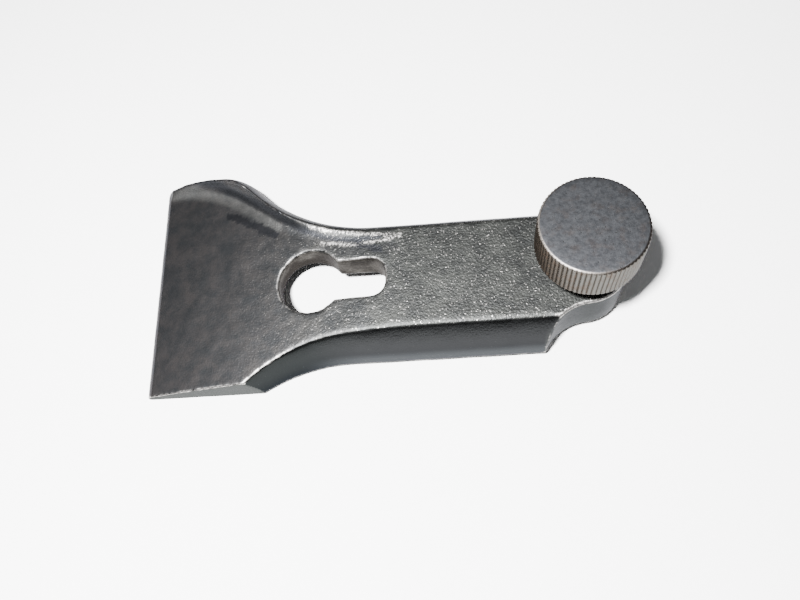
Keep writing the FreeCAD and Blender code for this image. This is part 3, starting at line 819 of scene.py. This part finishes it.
# %% Masks that follow the casting's shape
PLAIN_END_FACING, PLAIN_END_REACH = (0.93, 0.99), 0.4
TAIL_ALONG, TAIL_STEEPNESS, TAIL_SHARE = (-6.9, -6.2), (-0.5, -0.2), 0.6
KEYHOLE_LOW, KEYHOLE_HIGH, WALL_STEEPNESS = (-48.6, -5.4), (-30.0, 6.2), (-0.6, -0.3)
EAR_FACING = (0.05, 0.35)

steepness = -np.abs(upward)
at_plain_end = points[:, 1] < cap_low.y + PLAIN_END_REACH
plain_end = smooth_step(-normals[:, 1], *PLAIN_END_FACING) * at_plain_end
tail_face = smooth_step(points[:, 0], *TAIL_ALONG) * smooth_step(steepness, *TAIL_STEEPNESS)
tail_face *= hole_distance > HOLE_CLEAR
ground_face = np.clip(plain_end + TAIL_SHARE * tail_face, 0, 1)
in_plan = points[:, :2]
in_keyhole = ((in_plan > KEYHOLE_LOW) & (in_plan < KEYHOLE_HIGH)).all(axis=1)
raw_wall = in_keyhole * smooth_step(steepness, *WALL_STEEPNESS)
ear = by_ear * smooth_step(upward, *EAR_FACING)
print("wall points", int((raw_wall > 0.5).sum()), "ground points", int((ground_face > 0.5).sum()))

# %% [markdown]
# The finished points go back into the mesh, in metres, with the masks as attributes.

# %% Finish the casting
cap_mesh.vertices.foreach_set("co", (points * MM).ravel())
for name, values in (("sharpness", sharpness), ("facing_up", upward),
                     ("ground_face", ground_face), ("raw_wall", raw_wall), ("smear", smear),
                     ("hairpin_highlight", hairpin_highlight), ("ear", ear), ("cove_highlight_and_shade", cove_highlight_and_shade)):
    add_attribute(cap_mesh, name, values)
cap_mesh.shade_smooth()
cap_mesh.materials.clear()
cap_mesh.materials.append(iron)
cap_mesh.update()
cap = put_in_scene("cap_casting", cap_mesh, Matrix.Identity(4))
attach(cap, "cap")
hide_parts("lever_cap")
print("casting", len(cap_mesh.polygons) * 2, "triangles")

# %% [markdown]
# The screw is turned work, so both of its pieces start as a blank: a profile that goes round
# the Z axis. The profile begins and ends on the axis, where its ring closes to one point, so
# the blank has no hole. Rows that are close together leave enough points for the thread and
# the ribs that are cut into it next.

# %% A turned blank


def divided(profile, step):
    """The profile's corners, with points between them no further apart than step."""
    rows = [profile[0]]
    for (r0, z0), (r1, z1) in zip(profile, profile[1:]):
        parts = max(1, math.ceil(math.hypot(r1 - r0, z1 - z0) / step))
        rows += [(r0 + (r1 - r0) * i / parts, z0 + (z1 - z0) * i / parts)
                 for i in range(1, parts + 1)]
    return rows


def turned_blank(name, rows, around):
    """A closed mesh from (radius, height) rows in millimetres; the two ends are on the axis."""
    inner = rows[1:-1]
    angles = [2 * math.pi * i / around for i in range(around)]
    places = [(r * math.cos(a), r * math.sin(a), z) for r, z in inner for a in angles]
    faces = []
    for row in range(len(inner) - 1):
        here, above = row * around, (row + 1) * around
        for i in range(around):
            j = (i + 1) % around
            faces.append((here + i, here + j, above + j, above + i))
    start, end, last = len(places), len(places) + 1, (len(inner) - 1) * around
    places += [(0, 0, rows[0][1]), (0, 0, rows[-1][1])]
    faces += [(start, (i + 1) % around, i) for i in range(around)]
    faces += [(end, last + i, last + (i + 1) % around) for i in range(around)]
    mesh = bpy.data.meshes.new(name)
    mesh.from_pydata([Vector(p) * MM for p in places], [], faces)
    mesh.update()
    return mesh


print("a blank of", len(divided([(0, 0), (3, 0), (3, 5), (0, 5)], 0.5)), "rows, for example")

# %% [markdown]
# Threads and ribs follow a rule, so Geometry Nodes cut them. Both trees do the same thing with
# another rule: they work out how deep the cut is at each point from its angle and height, and
# never let the point stand further out than the cut allows. A chamfer on the blank therefore
# runs out through the thread or the ribs as it does on the lathe.

# %% Helpers for cutting trees


def new_cutting_tree(name, numbers):
    """A geometry tree with named number inputs and a material input."""
    tree = bpy.data.node_groups.new(name, "GeometryNodeTree")
    tree.interface.new_socket(name="Blank", in_out="INPUT", socket_type="NodeSocketGeometry")
    for label in numbers:
        tree.interface.new_socket(name=label, in_out="INPUT", socket_type="NodeSocketFloat")
    tree.interface.new_socket(name="Finish", in_out="INPUT", socket_type="NodeSocketMaterial")
    tree.interface.new_socket(name="Piece", in_out="OUTPUT", socket_type="NodeSocketGeometry")
    return tree, tree.nodes.new("NodeGroupInput").outputs


def place_parts(tree):
    """A point's x, y and z, its distance from the axis and its angle."""
    place = add_node(tree, "GeometryNodeInputPosition").outputs[0]
    x, y, z = add_node(tree, "ShaderNodeSeparateXYZ", [("Vector", place)]).outputs
    across = maths(tree, "SQRT", maths(tree, "MULTIPLY_ADD", x, x, maths(tree, "MULTIPLY", y, y)))
    return place, x, y, z, maths(tree, "MAXIMUM", across, 1e-7), maths(tree, "ARCTAN2", y, x)


def named(tree, geometry, name, value):
    node = add_node(tree, "GeometryNodeStoreNamedAttribute",
                    [("Geometry", geometry), ("Name", name), ("Value", value)],
                    data_type="FLOAT", domain="POINT")
    return node.outputs["Geometry"]


def cut_to(tree, given, parts, allowed, geometry):
    """Brings each point in to the allowed radius, and ends the tree."""
    place, x, y, z, across, angle = parts
    share = maths(tree, "DIVIDE", maths(tree, "MINIMUM", across, allowed), across)
    moved = add_node(tree, "ShaderNodeCombineXYZ", [
        ("X", maths(tree, "MULTIPLY", x, share)), ("Y", maths(tree, "MULTIPLY", y, share)),
        ("Z", z)]).outputs[0]
    placed = add_node(tree, "GeometryNodeSetPosition",
                      [("Geometry", geometry), ("Position", moved)]).outputs[0]
    real = add_node(tree, "GeometryNodeRealizeInstances", [("Geometry", placed)]).outputs[0]
    finish = add_node(tree, "GeometryNodeSetMaterial",
                      [("Geometry", real), ("Material", given["Finish"])]).outputs[0]
    leave = tree.nodes.new("NodeGroupOutput")
    feed(tree, finish, leave.inputs["Piece"])


def cut_blank(mesh, tree, values):
    """Runs a cutting tree on a blank and returns the plain mesh."""
    thing = put_in_scene(mesh.name + "_blank", mesh, Matrix.Identity(4))
    modifier = thing.modifiers.new("cut", "NODES")
    modifier.node_group = tree
    for item in tree.interface.items_tree:
        if item.in_out == "INPUT" and item.name in values:
            modifier[item.identifier] = values[item.name]
    result = applied(thing)
    bpy.data.objects.remove(thing)
    return result


print("cutting helpers ready")

# %% [markdown]
# The thread is a groove that climbs by one pitch a turn. A point's phase is its height in
# pitches less its angle in turns, and the groove's depth goes down and up once in each phase.
# A right-hand thread climbs as the angle grows.

# %% Geometry Nodes: cut the thread
FLANK, CREST, RUN_OUT_LENGTH = (0.14, 0.9), (0.05, 0.35), 0.6 * MM

thread_tree, given = new_cutting_tree(
    "cut_thread", ("Radius", "Pitch", "Depth", "Run Out Height"))
parts = place_parts(thread_tree)
turns = maths(thread_tree, "DIVIDE", parts[5], 2 * math.pi)
phase = maths(thread_tree, "FRACT", maths(
    thread_tree, "SUBTRACT", maths(thread_tree, "DIVIDE", parts[3], given["Pitch"]), turns))
from_crest = maths(thread_tree, "ABSOLUTE", maths(
    thread_tree, "MULTIPLY_ADD", phase, 2.0, -1.0))
groove_share = rise(thread_tree, from_crest, *FLANK)
below_run_out = rise(thread_tree, parts[3], given["Run Out Height"],
                     maths(thread_tree, "SUBTRACT", given["Run Out Height"], RUN_OUT_LENGTH))
cut_depth = maths(thread_tree, "MULTIPLY", maths(
    thread_tree, "MULTIPLY", groove_share, given["Depth"]), below_run_out)
allowed = maths(thread_tree, "SUBTRACT", given["Radius"], cut_depth)
crest_share = maths(thread_tree, "SUBTRACT", 1.0, rise(thread_tree, from_crest, *CREST))
marked = named(thread_tree, given["Blank"], "crest", crest_share)
cut_to(thread_tree, given, parts, allowed, marked)
print("cut_thread has", len(thread_tree.nodes), "nodes")

# %% [markdown]
# The stem stands in the tail: a chamfered tip on the paper, the thread, a narrower relief
# under the head, and a spigot that goes up into the head.

# %% The stem
THREAD_PITCH, THREAD_DEPTH = 1.058, 0.56
THREAD_SHY = 0.06
TIP_CHAMFER, SEAT_WIDTH = 0.7, 0.42
SPIGOT_RADIUS = 2.4
RELIEF_LENGTH = 1.3
PLAIN_STEP, THREAD_STEP, STEM_AROUND = 0.6, 0.06, 96

thread_radius = stem_high.x - THREAD_SHY
relief_radius = SPIGOT_RADIUS + SEAT_WIDTH
run_out = head_low.z - RELIEF_LENGTH
stem_profile = [
    (0, stem_low.z), (thread_radius - TIP_CHAMFER, stem_low.z),
    (thread_radius, stem_low.z + TIP_CHAMFER), (thread_radius, run_out),
    (relief_radius, run_out + RELIEF_LENGTH / 2), (relief_radius, head_low.z),
    (SPIGOT_RADIUS, head_low.z), (SPIGOT_RADIUS, stem_high.z), (0, stem_high.z),
]
stem_rows = divided(stem_profile[:2], PLAIN_STEP)
stem_rows += divided(stem_profile[1:6], THREAD_STEP)[1:]
stem_rows += divided(stem_profile[5:], PLAIN_STEP)[1:]
stem_blank = turned_blank("screw_stem", stem_rows, STEM_AROUND)
stem_mesh = cut_blank(stem_blank, thread_tree, {
    "Radius": thread_radius * MM, "Pitch": THREAD_PITCH * MM, "Depth": THREAD_DEPTH * MM,
    "Run Out Height": run_out * MM, "Finish": stem_steel})
stem_mesh.name = "screw_stem"
stem_mesh.shade_smooth()
stem = put_in_scene("screw_stem", stem_mesh, Matrix.Identity(4))
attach(stem, "stem")
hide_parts("thumbscrew_stem")
print("stem", len(stem_mesh.polygons), "faces")

# %% [markdown]
# The head's rim is knurled with straight ribs. The real ribs are pressed by a wheel, so each
# is round on top with a narrow groove beside it, and no two are quite alike. The absolute
# value of a sine gives that shape, and a little seeded noise changes each groove's depth.

# %% Geometry Nodes: knurl the rim
RIB_COUNT = 72
RIB_ROUNDNESS, WOBBLE_SCALE = 0.62, 700.0

knurl_tree, given = new_cutting_tree(
    "knurl_rim", ("Radius", "Ribs", "Depth", "Unevenness", "Seed", "Band Edge"))
parts = place_parts(knurl_tree)
half_turns = maths(knurl_tree, "MULTIPLY", parts[5],
                   maths(knurl_tree, "MULTIPLY", given["Ribs"], 0.5))
rib_round = maths(knurl_tree, "POWER", maths(
    knurl_tree, "ABSOLUTE", maths(knurl_tree, "SINE", half_turns)), RIB_ROUNDNESS)
groove_share = maths(knurl_tree, "SUBTRACT", 1.0, rib_round)
wobble = add_node(knurl_tree, "ShaderNodeTexNoise", [
    ("Vector", parts[0]), ("W", given["Seed"]), ("Scale", WOBBLE_SCALE), ("Detail", 1.0)],
    noise_dimensions="4D").outputs["Fac"]
depth_here = maths(knurl_tree, "MULTIPLY", given["Depth"], maths(
    knurl_tree, "MULTIPLY_ADD", maths(knurl_tree, "SUBTRACT", wobble, 0.5),
    given["Unevenness"], 1.0))
allowed = maths(knurl_tree, "SUBTRACT", given["Radius"],
                maths(knurl_tree, "MULTIPLY", depth_here, groove_share))
band_share = rise(knurl_tree, parts[4], maths(knurl_tree, "SUBTRACT", given["Radius"],
                                              given["Band Edge"]), given["Radius"])
marked = named(knurl_tree, given["Blank"], "groove", groove_share)
marked = named(knurl_tree, marked, "band", band_share)
cut_to(knurl_tree, given, parts, allowed, marked)
print("knurl_rim has", len(knurl_tree.nodes), "nodes")

# %% [markdown]
# The head is a short cylinder with a blind hole for the spigot. Its top is faced on the lathe
# and very slightly domed, and both rims have a small chamfer whose corners have worn round.

# %% The head
HEAD_CHAMFER, HEAD_DOME = 0.34, 0.05
HOLE_CLEARANCE, HOLE_END_GAP = 0.03, 0.2
CORNER_ROUNDING, DOME_RADIUS, DOME_DROP, TOP_STEP = 0.17, 4.0, 0.015, 1.6
head_radius = (head_high.x - head_low.x) / 2


def rounded_profile(corners, radius, steps=3):
    """Rounds a profile's inner corners with a short curve of a few points."""
    rows = [corners[0]]
    for before, here, after in zip(corners, corners[1:], corners[2:]):
        b, h, a = Vector(before), Vector(here), Vector(after)
        reach_in = min(radius, (b - h).length / 2)
        reach_out = min(radius, (a - h).length / 2)
        p, q = h + (b - h).normalized() * reach_in, h + (a - h).normalized() * reach_out
        for i in range(steps + 1):
            t = i / steps
            rows.append(tuple((1 - t) ** 2 * p + 2 * t * (1 - t) * h + t ** 2 * q))
    return rows + [corners[-1]]


hole_radius, hole_top = SPIGOT_RADIUS + HOLE_CLEARANCE, stem_high.z + HOLE_END_GAP
inside = [(0, hole_top), (hole_radius, hole_top), (hole_radius, head_low.z)]
outside = [
    (hole_radius, head_low.z), (head_radius - HEAD_CHAMFER, head_low.z),
    (head_radius, head_low.z + HEAD_CHAMFER), (head_radius, head_high.z - HEAD_CHAMFER),
    (head_radius - HEAD_CHAMFER, head_high.z - HEAD_DOME), (0, head_high.z),
]
head_rows = inside + rounded_profile(outside, CORNER_ROUNDING)[1:-1]
dome = [head_rows[-1], (DOME_RADIUS, head_high.z - DOME_DROP), (0, head_high.z)]
head_rows = head_rows[:-1] + divided(dome, TOP_STEP)
head_rows = [r for i, r in enumerate(head_rows) if i == 0 or r != head_rows[i - 1]]
print("head profile", len(head_rows), "rows, radius", round(head_radius, 2))

# %% [markdown]
# The knurling tree cuts the blank. The rim then gets a mask of its own, so that the material
# knows where fingers wear it.

# %% Knurl the head and mark its rim
RIB_DEPTH, RIB_UNEVENNESS, RIB_SEED, BAND_EDGE = 0.24, 0.7, 4.0, 0.4
POINTS_A_RIB = 8
RIM_START, RIM_FULL = 0.45, 0.25

head_blank = turned_blank("screw_head", head_rows, RIB_COUNT * POINTS_A_RIB)
head_mesh = cut_blank(head_blank, knurl_tree, {
    "Radius": head_radius * MM, "Ribs": float(RIB_COUNT), "Depth": RIB_DEPTH * MM,
    "Unevenness": RIB_UNEVENNESS, "Seed": RIB_SEED, "Band Edge": BAND_EDGE * MM,
    "Finish": head_steel})
head_mesh.name = "screw_head"
head_points = read_points(head_mesh) / MM
head_across = np.hypot(head_points[:, 0], head_points[:, 1])
near_edge = smooth_step(head_across, head_radius - RIM_START, head_radius - RIM_FULL)
from_face = np.minimum(head_high.z - head_points[:, 2], head_points[:, 2] - head_low.z)
rim_sharp = near_edge * (1 - smooth_step(from_face, HEAD_CHAMFER * 0.5, HEAD_CHAMFER * 1.1))
add_attribute(head_mesh, "sharpness", rim_sharp)
head_mesh.shade_smooth()
head = put_in_scene("screw_head", head_mesh, Matrix.Identity(4))
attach(head, "head")
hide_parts("thumbscrew_head")
print("head", len(head_mesh.polygons), "faces")
